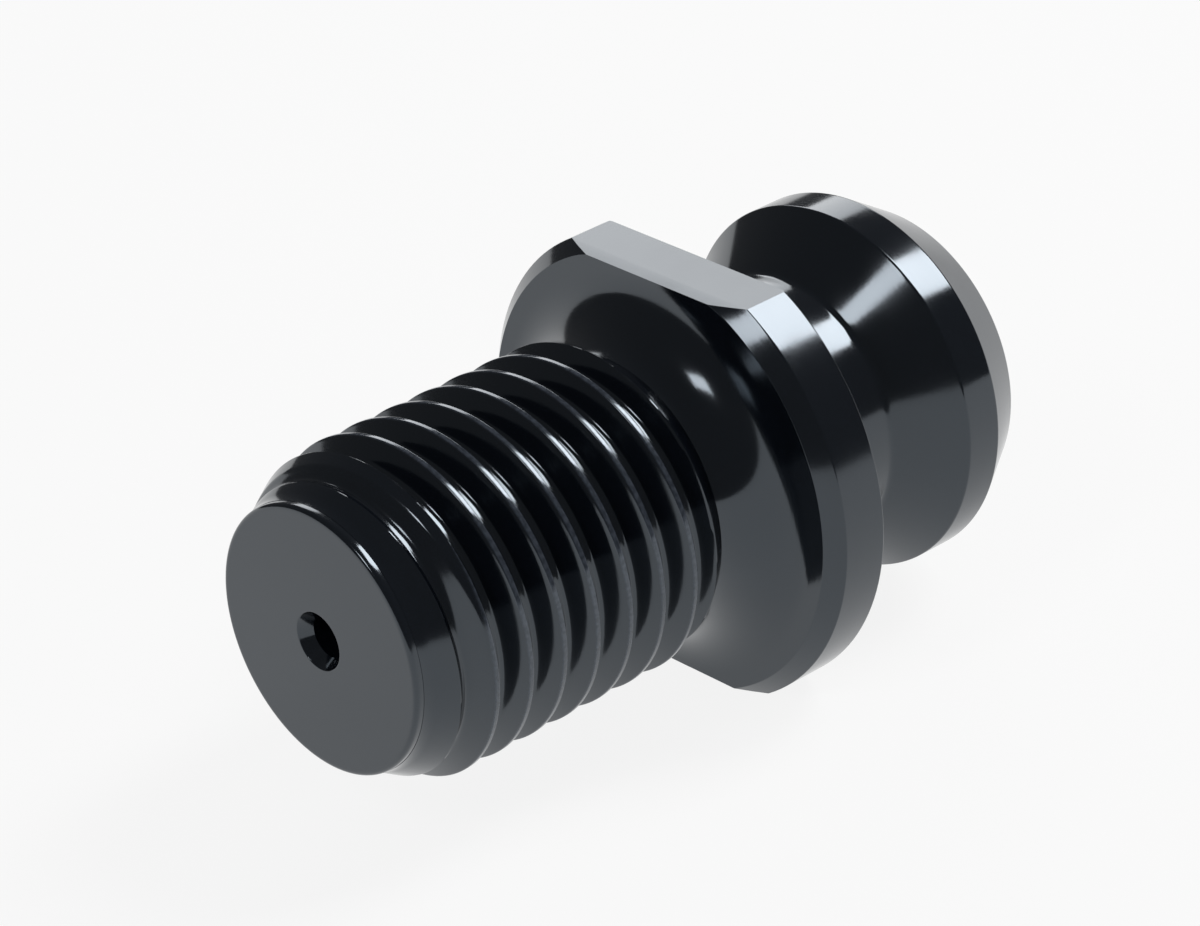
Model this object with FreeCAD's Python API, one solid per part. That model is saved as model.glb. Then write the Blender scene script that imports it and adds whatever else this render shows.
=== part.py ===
import FreeCAD, Part
import math
import os

from FreeCAD import Placement, Rotation, Vector

# Pull stud (45 degree retention knob) for a 50-taper tool holder: one turned steel piece.
# Millimetres and degrees. X is the axis of the stud, with the knob towards +X.
# The plane x = 0 is the seat face of the flange, and +Z is square to the upper wrench flat.

# Threaded shank
THREAD_PITCH = 25.4 / 8
CREST_DIAMETER = 25.2
THREAD_DEPTH = 1.755
CREST_FLAT = 0.4
FLANK_ANGLE = 60.0
FIRST_GROOVE_OFFSET = 5.30
# The groove's centre stops this far before the foot of the relief wall
THREAD_END_GAP = 0.6
SHANK_LENGTH = 32.62
LEAD_LENGTH = 5.18
LEAD_ANGLE = 30.0
LEAD_FILLET_RADIUS = 2.5
PILOT_DIAMETER = 20.4
PILOT_EDGE_CHAMFER = 0.3

# Centre hole in the end of the shank
COUNTERSINK_DIAMETER = 4.46
COUNTERSINK_ANGLE = 60.0
CENTRE_HOLE_DIAMETER = 3.3
CENTRE_HOLE_DEPTH = 6.0
DRILL_POINT_ANGLE = 118.0

# Thread relief in front of the flange
RELIEF_WIDTH = 6.4
RELIEF_DIAMETER = 21.8
RELIEF_WALL_ANGLE = 35.0
RELIEF_FILLET_RADIUS = 5.0

# Flange with two wrench flats
FLANGE_DIAMETER = 36.576
FLANGE_THICKNESS = 5.08
FLANGE_CHAMFER = 1.19
UPPER_FLAT_HEIGHT = 15.9
LOWER_FLAT_HEIGHT = 15.4

# Neck, gripping cone and knob
NECK_DIAMETER = 20.828
NECK_LENGTH = 9.16
CONE_ANGLE = 45.0
KNOB_DIAMETER = 28.956
LAND_WIDTH = 3.06
TOP_TAPER_ANGLE = 31.0
TOP_TAPER_LENGTH = 4.35

# How far the thread tool stands out of the crests
TOOL_OVERHANG = 0.2
# How far ahead of the seat face the wrench flats are milled, so that they cut the fillet too
FLAT_LEAD = 0.5


def tangent(degrees):
    return math.tan(math.radians(degrees))


def at(x, r):
    """Return the point of the turned outline at x along the axis and r from it."""
    return Vector(x, r, 0)


def arc(start, middle, end):
    """Return an arc through three points as a spline edge."""
    return Part.Arc(start, middle, end).toBSpline().toShape()


def lines(points):
    """Return the straight edges through a list of points."""
    return [Part.LineSegment(a, b).toShape() for a, b in zip(points, points[1:])]


def fillet(before, corner, after, radius):
    """Return the start, middle and end of the arc that rounds a corner of the outline."""
    back = (before - corner).normalize()
    onward = (after - corner).normalize()
    half_angle = back.getAngle(onward) / 2
    setback = radius / math.tan(half_angle)
    reach = radius / math.sin(half_angle) - radius
    bisector = (back + onward).normalize()
    return corner + back * setback, corner + bisector * reach, corner + onward * setback


def turned(edges):
    """Turn a closed outline about the axis of the stud."""
    face = Part.Face(Part.Wire(edges))
    return face.revolve(Vector(0, 0, 0), Vector(1, 0, 0), 360)


def relief_fillet():
    """Return the start, middle and end of the large fillet between the relief and the seat face."""
    radius = RELIEF_FILLET_RADIUS
    centre = at(-radius, RELIEF_DIAMETER / 2 + radius)
    wall_top = at(-RELIEF_WIDTH, CREST_DIAMETER / 2)
    slope = math.radians(RELIEF_WALL_ANGLE)
    down_wall = at(math.cos(slope), -math.sin(slope))
    # The start is where the sloping wall of the relief runs into the fillet's circle.
    along = (centre - wall_top).dot(down_wall)
    offset = (centre - wall_top - down_wall * along).Length
    start = wall_top + down_wall * (along + math.sqrt(radius ** 2 - offset ** 2))
    end = at(0, centre.y)
    middle = centre + ((start + end) / 2 - centre).normalize() * radius
    return start, middle, end


def blank():
    """Turn the whole stud, before its thread, hole and wrench flats."""
    crest = CREST_DIAMETER / 2
    pilot = PILOT_DIAMETER / 2
    flange = FLANGE_DIAMETER / 2
    neck = NECK_DIAMETER / 2
    knob = KNOB_DIAMETER / 2
    lead_end = LEAD_LENGTH - SHANK_LENGTH
    lead_start = lead_end - (crest - pilot) / tangent(LEAD_ANGLE)
    lead_fillet = fillet(at(-SHANK_LENGTH, pilot), at(lead_start, pilot), at(lead_end, crest),
                         LEAD_FILLET_RADIUS)
    flange_fillet = relief_fillet()
    cone_start = FLANGE_THICKNESS + NECK_LENGTH
    cone_end = cone_start + (knob - neck) / tangent(CONE_ANGLE)
    land_end = cone_end + LAND_WIDTH
    top = land_end + TOP_TAPER_LENGTH
    end_face = lines([
        at(-SHANK_LENGTH, 0),
        at(-SHANK_LENGTH, pilot - PILOT_EDGE_CHAMFER),
        at(PILOT_EDGE_CHAMFER - SHANK_LENGTH, pilot),
        lead_fillet[0],
    ])
    shank = lines([
        lead_fillet[-1],
        at(lead_end, crest),
        at(-RELIEF_WIDTH, crest),
        flange_fillet[0],
    ])
    head = lines([
        flange_fillet[-1],
        at(0, flange - FLANGE_CHAMFER),
        at(FLANGE_CHAMFER, flange),
        at(FLANGE_THICKNESS, flange),
        at(FLANGE_THICKNESS, neck),
        at(cone_start, neck),
        at(cone_end, knob),
        at(land_end, knob),
        at(top, knob - TOP_TAPER_LENGTH * tangent(TOP_TAPER_ANGLE)),
        at(top, 0),
        at(-SHANK_LENGTH, 0),
    ])
    return turned(end_face + [arc(*lead_fillet)] + shank + [arc(*flange_fillet)] + head)


def thread_path(start, end, radius):
    """Return a right-hand helix about Z from height start to height end, one edge to a turn."""
    edges = []
    height = start
    while height < end:
        rise = min(THREAD_PITCH, end - height)
        turn = Part.makeHelix(THREAD_PITCH, rise, radius)
        turn.translate(Vector(0, 0, height))
        edges.extend(turn.Edges)
        height += THREAD_PITCH
    return Part.Wire(edges)


def thread_tool():
    """Sweep the 60 degree groove section along the right-hand helix of the thread."""
    crest = CREST_DIAMETER / 2
    root = crest - THREAD_DEPTH
    outside = crest + TOOL_OVERHANG
    flank = tangent(FLANK_ANGLE / 2)
    half_at_crest = (THREAD_PITCH - CREST_FLAT) / 2
    half_at_root = half_at_crest - THREAD_DEPTH * flank
    half_outside = half_at_crest + TOOL_OVERHANG * flank
    # The tool starts a whole turn ahead of the first groove, in the air over the pilot.
    start = FIRST_GROOVE_OFFSET - SHANK_LENGTH - 2 * THREAD_PITCH
    end = relief_fillet()[0].x - THREAD_END_GAP
    section = lines([
        Vector(outside, 0, start - half_outside),
        Vector(root, 0, start - half_at_root),
        Vector(root, 0, start + half_at_root),
        Vector(outside, 0, start + half_outside),
        Vector(outside, 0, start - half_outside),
    ])
    tool = thread_path(start, end, root).makePipeShell([Part.Wire(section)], True, True)
    # The helix is built about Z from the X side; this turns it along the stud, from the Y side.
    tool.Placement = Placement(Vector(0, 0, 0), Rotation(Vector(1, 1, 1), 120))
    return tool


def centre_hole():
    """Turn the space of the centre-drilled hole: countersink, bore and drill point."""
    mouth = COUNTERSINK_DIAMETER / 2
    bore = CENTRE_HOLE_DIAMETER / 2
    countersink_depth = (mouth - bore) / tangent(COUNTERSINK_ANGLE / 2)
    bore_end = CENTRE_HOLE_DEPTH - SHANK_LENGTH
    return turned(lines([
        at(-SHANK_LENGTH, 0),
        at(-SHANK_LENGTH, mouth),
        at(countersink_depth - SHANK_LENGTH, bore),
        at(bore_end, bore),
        at(bore_end + bore / tangent(DRILL_POINT_ANGLE / 2), 0),
        at(-SHANK_LENGTH, 0),
    ]))


def flat_cutter(height, side):
    """Return the block that mills one wrench flat, on the +Z (1) or the -Z (-1) side."""
    block = Part.makeBox(FLAT_LEAD + FLANGE_THICKNESS, FLANGE_DIAMETER, FLANGE_DIAMETER)
    low = height if side > 0 else -height - FLANGE_DIAMETER
    block.translate(Vector(-FLAT_LEAD, -FLANGE_DIAMETER / 2, low))
    return block


def pull_stud():
    cutters = [
        thread_tool(),
        centre_hole(),
        flat_cutter(UPPER_FLAT_HEIGHT, 1),
        flat_cutter(LOWER_FLAT_HEIGHT, -1),
    ]
    return blank().cut(cutters)


os.makedirs("parts", exist_ok=True)
stud = pull_stud()
stud.exportStep("parts/pull_stud.step")
print("volume", round(stud.Volume, 1), "solids", len(stud.Solids), "valid", stud.isValid())
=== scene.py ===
import math

import bmesh
import bpy
import numpy as np
from mathutils import Matrix, Vector


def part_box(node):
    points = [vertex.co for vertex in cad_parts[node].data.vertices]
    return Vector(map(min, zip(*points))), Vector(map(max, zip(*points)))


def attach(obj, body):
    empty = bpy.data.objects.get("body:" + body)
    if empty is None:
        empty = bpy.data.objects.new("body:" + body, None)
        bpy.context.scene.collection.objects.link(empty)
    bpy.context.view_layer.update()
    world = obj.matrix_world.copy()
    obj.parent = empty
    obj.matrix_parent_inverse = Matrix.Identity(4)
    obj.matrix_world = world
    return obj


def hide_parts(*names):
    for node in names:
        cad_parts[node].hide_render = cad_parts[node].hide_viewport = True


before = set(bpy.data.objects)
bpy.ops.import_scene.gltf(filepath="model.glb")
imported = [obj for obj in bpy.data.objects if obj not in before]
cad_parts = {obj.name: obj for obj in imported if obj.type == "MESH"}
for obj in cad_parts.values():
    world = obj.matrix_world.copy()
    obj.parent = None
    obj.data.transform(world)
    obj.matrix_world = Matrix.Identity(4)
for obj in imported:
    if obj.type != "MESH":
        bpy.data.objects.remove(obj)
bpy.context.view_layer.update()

# Pull stud in black oxide steel. X is the axis of the stud, with the knob towards +X and the
# seat face of the flange at x = 0. Sizes of the stud are in millimetres. The material, floor,
# lamps and camera are in metres.
MM = 0.001
lowest, highest = [Vector(corner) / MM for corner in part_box("pull_stud")]

# Sizes read from the frame
SHANK_END = lowest.x
KNOB_TOP = highest.x
FLANGE_RADIUS = highest.y
UPPER_FLAT = highest.z
LOWER_FLAT = -lowest.z

# Pilot and tapered lead of the shank
PILOT_RADIUS = 10.2
PILOT_ROUND = 0.35
PILOT_JOIN = SHANK_END + 2 * PILOT_ROUND
CREST_RADIUS = 12.6
LEAD_ANGLE = math.radians(30)
LEAD_END = SHANK_END + 5.18
LEAD_START = LEAD_END - (CREST_RADIUS - PILOT_RADIUS) / math.tan(LEAD_ANGLE)
LEAD_ROUND = 2.5
SHANK_EDGE_ROUND = 0.15

# Thread: a flank leans 30 degrees from the plane across the axis
PITCH = 25.4 / 8
ROOT_RADIUS = 10.845
CREST_FLAT = 0.4
FLANK_SLOPE = math.tan(math.radians(60))
FIRST_GROOVE = SHANK_END + 5.3
CREST_BLEND = 0.12
ROOT_BLEND = 0.4
RUN_OUT_START = -5.6
RUN_OUT_SLOPE = 0.3

# Centre hole
HOLE_MOUTH = 2.23
HOLE_RADIUS = 1.65
HOLE_DEPTH = 6.0
HOLE_TIP = 1.0
HOLE_ROUND = 0.08
COUNTERSINK_DEPTH = 1.0

# Relief, large fillet and flange
RELIEF_START = -6.4
RELIEF_RADIUS = 10.9
RELIEF_WALL_SLOPE = math.tan(math.radians(35))
FILLET = 5.0
FLANGE_WIDTH = 5.08
CHAMFER = 1.19
CHAMFER_FRONT_ROUND = 0.08
CHAMFER_BACK_ROUND = 0.1
REAR_ROUND = 0.15
FRONT_MARGIN = 0.1
REAR_MARGIN = 0.5

# Burnished front edge of the upper wrench flat
BURNISH_WIDTH = 0.95
BURNISH_DROP = 0.06
LEAST_SINE = 0.1

# Neck, gripping cone and knob
NECK_RADIUS = 10.414
NECK_FOOT_ROUND = 0.2
NECK_ROUND = 0.8
CONE_START = FLANGE_WIDTH + 9.16
KNOB_RADIUS = 14.478
KNOB_ROUND = 0.25
CONE_END = CONE_START + KNOB_RADIUS - NECK_RADIUS
LAND_END = CONE_END + 3.06
TAPER_ANGLE = math.radians(31)
TOP_RADIUS = KNOB_RADIUS - (KNOB_TOP - LAND_END) * math.tan(TAPER_ANGLE)
# Out to here the rear face is clear of both wrench flats.
REAR_CLEAR_RADIUS = LOWER_FLAT - 0.4

# Steps of the mesh: round the axis, and along each kind of round
COLUMN_STEP = math.radians(2.5)
SMALL_STEPS = 3
LEAD_EDGE_STEPS = 4
EDGE_STEPS = 5
PILOT_STEPS = 6
NECK_STEPS = 6
LEAD_STEPS = 12
FILLET_ROWS = 28
SEARCH_STEPS = 4000
# A support point stands off each end of a round by this share of its radius.
SUPPORT_SHARE = 0.4

# Rows of the thread mesh. The first three lie this far beyond the edge of the crest flat,
# and the last two this far before the middle of the groove.
CREST_ROWS_END = -0.08
EDGE_ROWS = (-0.05, 0.11)
FLANK_ROWS_START = 0.19
FLANK_ROWS_END = 0.6
ROOT_ROWS_START = 0.53
# Turns that reach past both ends of the shank, for the columns that the helix carries back
SPARE_TURNS = 3
TURNS_BEFORE = 2

# Mesh clean-up, the distance in metres
MERGE_DISTANCE = 2e-8
SHARP_ANGLE = math.radians(22)


def unit(vector):
    """Return the vector at length one."""
    return vector / np.linalg.norm(vector)


def rounded(before, corner, after, radius, steps):
    """Return the points of the arc that rounds a corner, with a support point at each end."""
    before, corner, after = np.array(before), np.array(corner), np.array(after)
    back = unit(before - corner)
    onward = unit(after - corner)
    half = math.acos(np.clip(back @ onward, -1, 1)) / 2
    setback = radius / math.tan(half)
    support = setback + SUPPORT_SHARE * radius
    centre = corner + unit(back + onward) * radius / math.sin(half)
    first = corner + back * setback - centre
    last = corner + onward * setback - centre
    sweep = math.pi - 2 * half
    points = [corner + back * support]
    for share in np.linspace(0, 1, steps + 1):
        first_part = math.sin((1 - share) * sweep) * first
        last_part = math.sin(share * sweep) * last
        points.append(centre + (first_part + last_part) / math.sin(sweep))
    points.append(corner + onward * support)
    return points


def outline(corners):
    """Return the points of an outline from its corners: (x, r, radius of the round, its steps)."""
    points = [np.array(corners[0][:2])]
    for before, corner, after in zip(corners, corners[1:], corners[2:]):
        if corner[2]:
            points += rounded(before[:2], corner[:2], after[:2], corner[2], corner[3])
        else:
            points.append(np.array(corner[:2]))
    points.append(np.array(corners[-1][:2]))
    return points


def fillet_radius(x):
    """Return the radius of the stud at x on the large fillet."""
    return RELIEF_RADIUS + FILLET - np.sqrt(FILLET ** 2 - (x + FILLET) ** 2)


def fillet_start():
    """Return the x at which the sloping wall of the relief runs into the large fillet."""
    x = np.linspace(RELIEF_START, -FILLET / 2, SEARCH_STEPS)
    wall = CREST_RADIUS - (x - RELIEF_START) * RELIEF_WALL_SLOPE
    return float(x[np.argmax(wall < fillet_radius(x))])


SHANK_JOIN = fillet_start()


def shank_outline():
    """Return the outline of the unthreaded shank, from the pilot to the large fillet."""
    return outline([
        (PILOT_JOIN, PILOT_RADIUS, 0, 0),
        (LEAD_START, PILOT_RADIUS, LEAD_ROUND, LEAD_STEPS),
        (LEAD_END, CREST_RADIUS, SHANK_EDGE_ROUND, LEAD_EDGE_STEPS),
        (RELIEF_START, CREST_RADIUS, SHANK_EDGE_ROUND, EDGE_STEPS),
        (SHANK_JOIN, float(fillet_radius(SHANK_JOIN)), 0, 0),
    ])


def lower_of(a, b, blend):
    """Return the smaller of a and b with the corner between them rounded."""
    near = np.maximum(blend - np.abs(a - b), 0) / blend
    return np.minimum(a, b) - near ** 2 * blend / 4


def thread_radius(x, angle, blank):
    """Return the radius of the threaded shank at x and at an angle from +Y towards +Z."""
    helix = x - FIRST_GROOVE - PITCH * angle / (2 * math.pi)
    from_centre = (helix + PITCH / 2) % PITCH - PITCH / 2
    # The groove rises out of the steel as it runs into the relief.
    centre = x - from_centre
    lift = np.maximum(centre - RUN_OUT_START, 0) * RUN_OUT_SLOPE
    half_width = (PITCH - CREST_FLAT) / 2
    flank = CREST_RADIUS - (half_width - np.abs(from_centre)) * FLANK_SLOPE
    root = np.full_like(flank, ROOT_RADIUS)
    groove = -lower_of(-flank, -root, ROOT_BLEND) + lift
    return lower_of(blank, groove, CREST_BLEND)


def columns():
    """Return the angles of the mesh columns, with one on each corner of the two wrench flats."""
    upper = math.asin(UPPER_FLAT / FLANGE_RADIUS)
    lower = math.asin(LOWER_FLAT / FLANGE_RADIUS)
    turn = 2 * math.pi
    stops = [0, upper, math.pi - upper, math.pi + lower, turn - lower, turn]
    angles = [0.0]
    for start, end in zip(stops, stops[1:]):
        steps = round((end - start) / COLUMN_STEP)
        angles.extend(np.linspace(start, end, steps + 1)[1:])
    return np.array(angles)


def follow_flats(angles, radius):
    """Move the columns so that they meet the corners of the flats on a circle of this radius."""
    turn = 2 * math.pi
    knots = []
    for size in (FLANGE_RADIUS, radius):
        upper = math.asin(UPPER_FLAT / size)
        lower = math.asin(LOWER_FLAT / size)
        knots.append([-lower, upper, math.pi - upper, math.pi + lower, turn - lower, turn + upper])
    return np.interp(angles, knots[0], knots[1])


def flats_radius(x, angles):
    """Return how far out the wrench flats let the stud reach at x."""
    drop = BURNISH_DROP * max(0.0, 1 - x / BURNISH_WIDTH)
    height = np.where(np.sin(angles) > 0, UPPER_FLAT - drop, LOWER_FLAT)
    return height / np.maximum(np.abs(np.sin(angles)), LEAST_SINE)


def ring(x, radius, angles):
    """Return one row of points round the axis. Each size is one number, or one to a column."""
    x = np.broadcast_to(x, angles.shape)
    return np.stack([x, radius * np.cos(angles), radius * np.sin(angles)], axis=1)


def end_rows(angles):
    """Return the rows of the centre hole, the end face and the rounded pilot edge."""
    points = outline([
        (SHANK_END + HOLE_DEPTH + HOLE_TIP, 0, 0, 0),
        (SHANK_END + HOLE_DEPTH, HOLE_RADIUS, 0, 0),
        (SHANK_END + COUNTERSINK_DEPTH, HOLE_RADIUS, 0, 0),
        (SHANK_END, HOLE_MOUTH, HOLE_ROUND, SMALL_STEPS),
        (SHANK_END, PILOT_RADIUS, PILOT_ROUND, PILOT_STEPS),
        (PILOT_JOIN, PILOT_RADIUS, 0, 0),
    ])
    return [ring(x, radius, angles) for x, radius in points]


def row_places():
    """Return where the rows of one thread lie, from its crest: close at the edges and the root."""
    edge = CREST_FLAT / 2
    middle = PITCH / 2
    away = np.concatenate([
        np.linspace(0, edge + CREST_ROWS_END, 3),
        np.linspace(edge + EDGE_ROWS[0], edge + EDGE_ROWS[1], 6),
        np.linspace(edge + FLANK_ROWS_START, middle - FLANK_ROWS_END, 9),
        np.linspace(middle - ROOT_ROWS_START, middle, 8),
    ])
    return np.concatenate([-away[:0:-1], away[:-1]])


def thread_rows(angles):
    """Return rows that follow the helix, held between the pilot and the large fillet."""
    profile = np.array(shank_outline())
    first, last = profile[0][0], profile[-1][0]
    turns = math.ceil((last - first) / PITCH) + SPARE_TURNS
    rows = []
    for turn in range(turns):
        crest = FIRST_GROOVE + (turn - TURNS_BEFORE) * PITCH - PITCH / 2
        for place in row_places():
            x = np.clip(crest + place + PITCH * angles / (2 * math.pi), first, last)
            blank = np.interp(x, profile[:, 0], profile[:, 1])
            at_an_end = (x <= first) | (x >= last)
            radius = np.where(at_an_end, blank, thread_radius(x, angles, blank))
            rows.append(ring(x, radius, angles))
    return rows


def fillet_rows(angles):
    """Return the rows of the large fillet, cut by the wrench flats where it reaches them."""
    rows = []
    start = math.acos((SHANK_JOIN + FILLET) / FILLET)
    for turn in np.linspace(start, 0, FILLET_ROWS):
        x = -FILLET + FILLET * math.cos(turn)
        radius = RELIEF_RADIUS + FILLET - FILLET * math.sin(turn)
        rows.append(ring(x, np.minimum(radius, flats_radius(0, angles)), angles))
    return rows


def flange_rows(angles):
    """Return the rows of the flange and its two wrench flats."""
    rows = []
    front = FLANGE_RADIUS - CHAMFER
    points = outline([
        (0, front - FRONT_MARGIN, 0, 0),
        (0, front, CHAMFER_FRONT_ROUND, SMALL_STEPS),
        (CHAMFER / 2, front + CHAMFER / 2, 0, 0),
        (CHAMFER, FLANGE_RADIUS, CHAMFER_BACK_ROUND, SMALL_STEPS),
        (FLANGE_WIDTH / 2, FLANGE_RADIUS, 0, 0),
        (FLANGE_WIDTH, FLANGE_RADIUS, REAR_ROUND, EDGE_STEPS),
        (FLANGE_WIDTH, FLANGE_RADIUS - REAR_MARGIN, 0, 0),
    ])
    for x, radius in points:
        moved = follow_flats(angles, radius)
        rows.append(ring(x, np.minimum(radius, flats_radius(x, moved)), moved))
    return rows


def knob_rows(angles):
    """Return the rows of the rear face, neck, gripping cone, land, taper and top face."""
    points = outline([
        (FLANGE_WIDTH, REAR_CLEAR_RADIUS, 0, 0),
        (FLANGE_WIDTH, NECK_RADIUS, NECK_FOOT_ROUND, SMALL_STEPS),
        (CONE_START, NECK_RADIUS, NECK_ROUND, NECK_STEPS),
        (CONE_END, KNOB_RADIUS, KNOB_ROUND, EDGE_STEPS),
        (LAND_END, KNOB_RADIUS, KNOB_ROUND, EDGE_STEPS),
        (KNOB_TOP, TOP_RADIUS, KNOB_ROUND, EDGE_STEPS),
        (KNOB_TOP, 0, 0, 0),
    ])
    return [ring(x, radius, angles) for x, radius in points]


def stud_mesh():
    """Make the stud as one closed mesh, from rows of points along the axis."""
    angles = columns()
    rows = end_rows(angles) + thread_rows(angles)
    rows += fillet_rows(angles) + flange_rows(angles) + knob_rows(angles)
    grid = np.array(rows) * MM
    count, width = grid.shape[:2]
    index = np.arange(count * width).reshape(count, width)
    quads = np.stack([index[:-1, :-1], index[1:, :-1], index[1:, 1:], index[:-1, 1:]], axis=-1)
    mesh = bpy.data.meshes.new("stud")
    mesh.from_pydata(grid.reshape(-1, 3).tolist(), [], quads.reshape(-1, 4).tolist())
    # Merging closes the seam of the turn and clears the rows that lie on one another.
    solid = bmesh.new()
    solid.from_mesh(mesh)
    bmesh.ops.remove_doubles(solid, verts=solid.verts, dist=MERGE_DISTANCE)
    bmesh.ops.dissolve_degenerate(solid, edges=solid.edges, dist=MERGE_DISTANCE)
    bmesh.ops.recalc_face_normals(solid, faces=solid.faces)
    for face in solid.faces:
        face.smooth = True
    solid.to_mesh(mesh)
    solid.free()
    mesh.set_sharp_from_angle(angle=SHARP_ANGLE)
    return mesh


class Nodes:
    """Short calls for a material's node tree."""

    def __init__(self, material):
        material.use_nodes = True
        self.tree = material.node_tree
        self.shader = self.tree.nodes["Principled BSDF"]

    def add(self, kind, **settings):
        """Add a node with these settings."""
        node = self.tree.nodes.new(kind)
        for name, value in settings.items():
            setattr(node, name, value)
        return node

    def put(self, socket, value):
        """Link a node's output to a socket, or set the socket to a plain value."""
        if isinstance(value, bpy.types.NodeSocket):
            self.tree.links.new(value, socket)
        else:
            socket.default_value = value

    def math(self, operation, first, second=0.0):
        """Return a sum, product or other operation on two values."""
        node = self.add("ShaderNodeMath", operation=operation)
        self.put(node.inputs[0], first)
        self.put(node.inputs[1], second)
        return node.outputs[0]

    def span(self, value, start, end, low, high):
        """Return low to high as the value goes smoothly from start to end."""
        node = self.add("ShaderNodeMapRange", interpolation_type="SMOOTHSTEP")
        for socket, amount in zip(node.inputs, (value, start, end, low, high)):
            self.put(socket, amount)
        return node.outputs[0]

    def noise(self, vector, scale, detail=2.0):
        """Return a noise of this scale, in waves to the metre."""
        node = self.add("ShaderNodeTexNoise")
        self.put(node.inputs["Vector"], vector)
        self.put(node.inputs["Scale"], scale)
        self.put(node.inputs["Detail"], detail)
        return node.outputs["Fac"]

    def mix(self, share, first, second):
        """Return a mix of two colours."""
        node = self.add("ShaderNodeMix", data_type="RGBA")
        self.put(node.inputs[0], share)
        self.put(node.inputs[6], first)
        self.put(node.inputs[7], second)
        return node.outputs[2]


# Black oxide finish
OXIDE = (0.004, 0.0055, 0.009, 1)
OXIDE_WORN = (0.055, 0.065, 0.085, 1)
OXIDE_TINT = (0.8, 0.9, 1.0, 1)
OXIDE_IOR = 1.75
ROUGHNESS = (0.09, 0.15)
TURNING_SCALE = 5000.0
GRAIN_SCALE = 3200.0
GRAIN_DETAIL = 3.0
CLOUD_SCALE = 160.0
NOISE_RANGE = (0.3, 0.7)
WORN_DEPTH = 0.12 * MM
WORN_FADE = 0.4 * MM
WORN_LEAST = 0.4
TURNING_SHARE = 0.6
GRAIN_SHARE = 0.4
BUMP_STRENGTH = 0.25
BUMP_DISTANCE = 0.01 * MM


def black_oxide():
    """Make the finish: blue-black oxide over fine turning marks, thinner on the thread crests."""
    material = bpy.data.materials.new("black_oxide_steel")
    nodes = Nodes(material)
    shader = nodes.shader.inputs
    place = nodes.add("ShaderNodeTexCoord").outputs["Object"]
    split = nodes.add("ShaderNodeSeparateXYZ")
    nodes.put(split.inputs[0], place)
    x, y, z = split.outputs
    squares = nodes.math("ADD", nodes.math("MULTIPLY", y, y), nodes.math("MULTIPLY", z, z))
    radius = nodes.math("SQRT", squares)
    # The turning marks run round the axis, so they depend on x and the radius alone.
    turning = nodes.add("ShaderNodeCombineXYZ")
    nodes.put(turning.inputs[0], x)
    nodes.put(turning.inputs[1], radius)
    marks = nodes.noise(turning.outputs[0], TURNING_SCALE)
    grain = nodes.noise(place, GRAIN_SCALE, GRAIN_DETAIL)
    cloud = nodes.noise(place, CLOUD_SCALE)
    crest = CREST_RADIUS * MM
    thread_end = RELIEF_START * MM
    on_thread = nodes.span(x, thread_end, thread_end + WORN_FADE, 1.0, 0.0)
    on_crest = nodes.span(radius, crest - WORN_DEPTH, crest, 0.0, 1.0)
    patchy = nodes.span(grain, *NOISE_RANGE, WORN_LEAST, 1.0)
    worn = nodes.math("MULTIPLY", nodes.math("MULTIPLY", on_thread, on_crest), patchy)
    nodes.put(shader["Base Color"], nodes.mix(worn, OXIDE, OXIDE_WORN))
    nodes.put(shader["Roughness"], nodes.span(cloud, *NOISE_RANGE, *ROUGHNESS))
    nodes.put(shader["IOR"], OXIDE_IOR)
    nodes.put(shader["Specular Tint"], OXIDE_TINT)
    turned = nodes.math("MULTIPLY", marks, TURNING_SHARE)
    height = nodes.math("ADD", turned, nodes.math("MULTIPLY", grain, GRAIN_SHARE))
    bump = nodes.add("ShaderNodeBump")
    nodes.put(bump.inputs["Height"], height)
    nodes.put(bump.inputs["Strength"], BUMP_STRENGTH)
    nodes.put(bump.inputs["Distance"], BUMP_DISTANCE)
    nodes.put(shader["Normal"], bump.outputs[0])
    return material


def stud():
    """Place the finished stud on its CAD body."""
    piece = bpy.data.objects.new("finished_stud", stud_mesh())
    bpy.context.scene.collection.objects.link(piece)
    piece.data.materials.append(black_oxide())
    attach(piece, "root")
    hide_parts("pull_stud")


# Floor
FLOOR_HALF = 4.0
FLOOR_COLOUR = (0.95, 0.95, 0.95, 1)
FLOOR_GLOW = 0.88


def floor_white():
    """Make the floor's white. Part of it is the floor's own, and the rest takes the shadow."""
    material = bpy.data.materials.new("floor_white")
    nodes = Nodes(material)
    nodes.put(nodes.shader.inputs["Base Color"], FLOOR_COLOUR)
    nodes.put(nodes.shader.inputs["Roughness"], 1.0)
    nodes.put(nodes.shader.inputs["Specular IOR Level"], 0.0)
    glow = nodes.add("ShaderNodeEmission")
    path = nodes.add("ShaderNodeLightPath").outputs
    seen = nodes.math("MAXIMUM", path["Is Camera Ray"], path["Is Glossy Ray"])
    seen = nodes.math("MAXIMUM", seen, path["Is Transmission Ray"])
    blend = nodes.add("ShaderNodeMixShader")
    nodes.put(blend.inputs[0], nodes.math("MULTIPLY", seen, FLOOR_GLOW))
    nodes.put(blend.inputs[1], nodes.shader.outputs[0])
    nodes.put(blend.inputs[2], glow.outputs[0])
    nodes.put(nodes.tree.nodes["Material Output"].inputs["Surface"], blend.outputs[0])
    return material


def floor():
    """Lay the floor at the lowest point of the stud."""
    level = lowest.z * MM
    half = FLOOR_HALF
    corners = [(-half, -half, level), (half, -half, level), (half, half, level), (-half, half, level)]
    mesh = bpy.data.meshes.new("floor")
    mesh.from_pydata(corners, [], [(0, 1, 2, 3)])
    mesh.materials.append(floor_white())
    piece = bpy.data.objects.new("floor", mesh)
    bpy.context.scene.collection.objects.link(piece)


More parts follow.
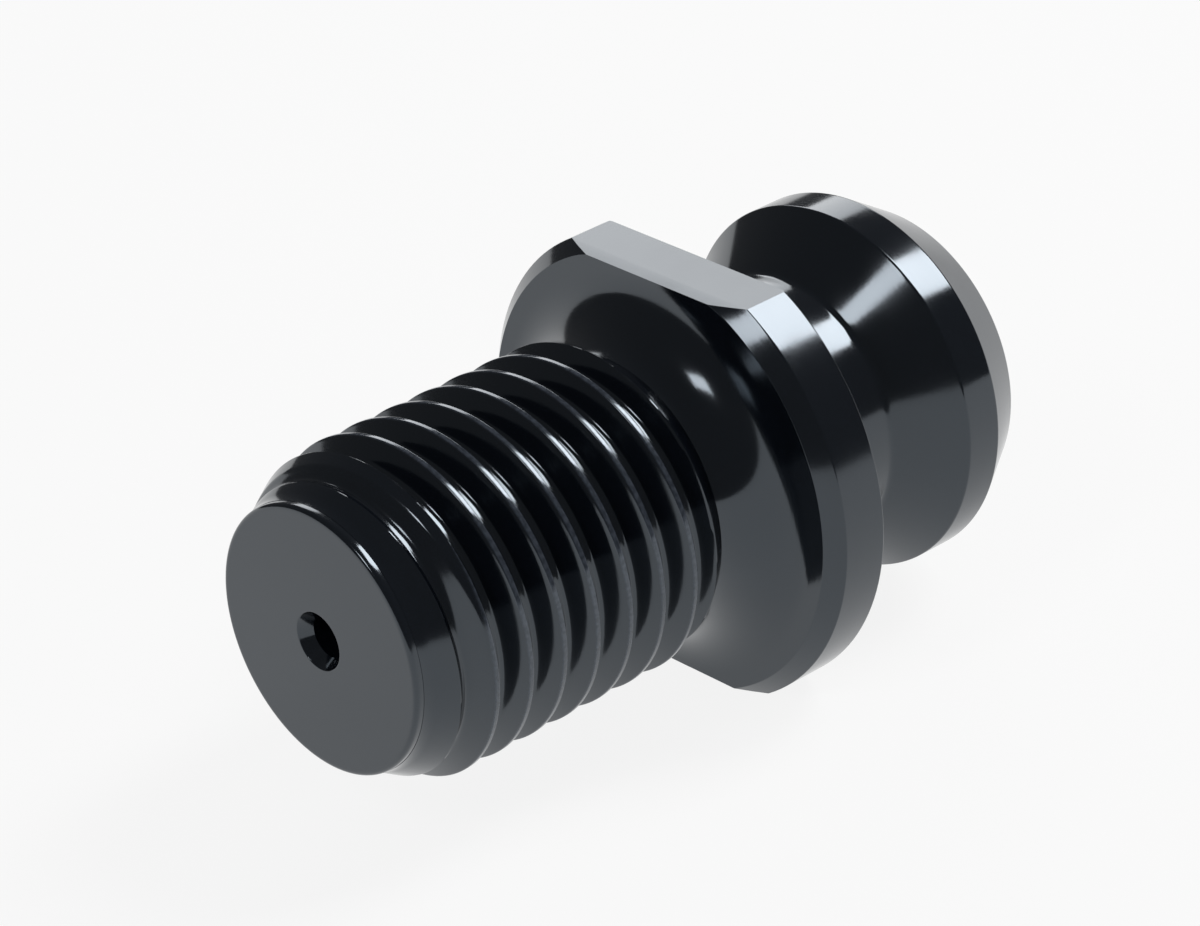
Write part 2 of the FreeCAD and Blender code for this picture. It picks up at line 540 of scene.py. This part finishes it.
def softbox(name, direction, distance, width, height, brightness):
    """Hang an area lamp that faces the stud. Its power gives that brightness at any size."""
    lamp = bpy.data.lights.new(name, "AREA")
    lamp.shape = "RECTANGLE"
    lamp.size = width
    lamp.size_y = height
    lamp.energy = brightness * math.pi * width * height
    piece = bpy.data.objects.new(name, lamp)
    bpy.context.scene.collection.objects.link(piece)
    place = Vector(direction).normalized() * distance
    turn = place.to_track_quat("Z", "Y").to_matrix().to_4x4()
    piece.matrix_world = Matrix.Translation(place) @ turn


# Each softbox: name, direction from the stud, distance, width, height, brightness
SOFTBOXES = (
    ("key", (0.6, -0.2, 0.77), 0.7, 0.24, 0.3, 11.0),
    ("fill", (-0.7, -0.1, 0.68), 0.7, 0.12, 0.2, 8.0),
    ("rim", (0.62, 0.66, 0.42), 0.9, 0.5, 0.3, 3.0),
)
WORLD_COLOUR = (0.95, 0.97, 1, 1)
WORLD_LEVEL = 0.1


def light():
    """Light the stud with three softboxes in a dim room."""
    for settings in SOFTBOXES:
        softbox(*settings)
    world = bpy.data.worlds.new("studio")
    world.use_nodes = True
    background = world.node_tree.nodes["Background"]
    background.inputs["Color"].default_value = WORLD_COLOUR
    background.inputs["Strength"].default_value = WORLD_LEVEL
    bpy.context.scene.world = world


# Camera. The lens and the sensor width are in millimetres.
CAMERA_AZIMUTH = math.radians(-132.21)
CAMERA_ELEVATION = math.radians(28.13)
CAMERA_ROLL = math.radians(-3.06)
CAMERA_DISTANCE = 0.3484
CAMERA_AIM = Vector((-0.00266, 0.00303, 0.00086))
CAMERA_LENS = 142.5
SENSOR_WIDTH = 36.0


def camera():
    """Look at the threaded end of the stud, from one side and above."""
    data = bpy.data.cameras.new("camera")
    data.lens = CAMERA_LENS
    data.sensor_width = SENSOR_WIDTH
    piece = bpy.data.objects.new("camera", data)
    bpy.context.scene.collection.objects.link(piece)
    level = math.cos(CAMERA_ELEVATION)
    back = Vector((
        level * math.cos(CAMERA_AZIMUTH),
        level * math.sin(CAMERA_AZIMUTH),
        math.sin(CAMERA_ELEVATION),
    ))
    turn = back.to_track_quat("Z", "Y").to_matrix().to_4x4() @ Matrix.Rotation(CAMERA_ROLL, 4, "Z")
    piece.matrix_world = Matrix.Translation(CAMERA_AIM + back * CAMERA_DISTANCE) @ turn
    bpy.context.scene.camera = piece


camera()
stud()
floor()
light()
bpy.context.scene.view_settings.view_transform = "Standard"
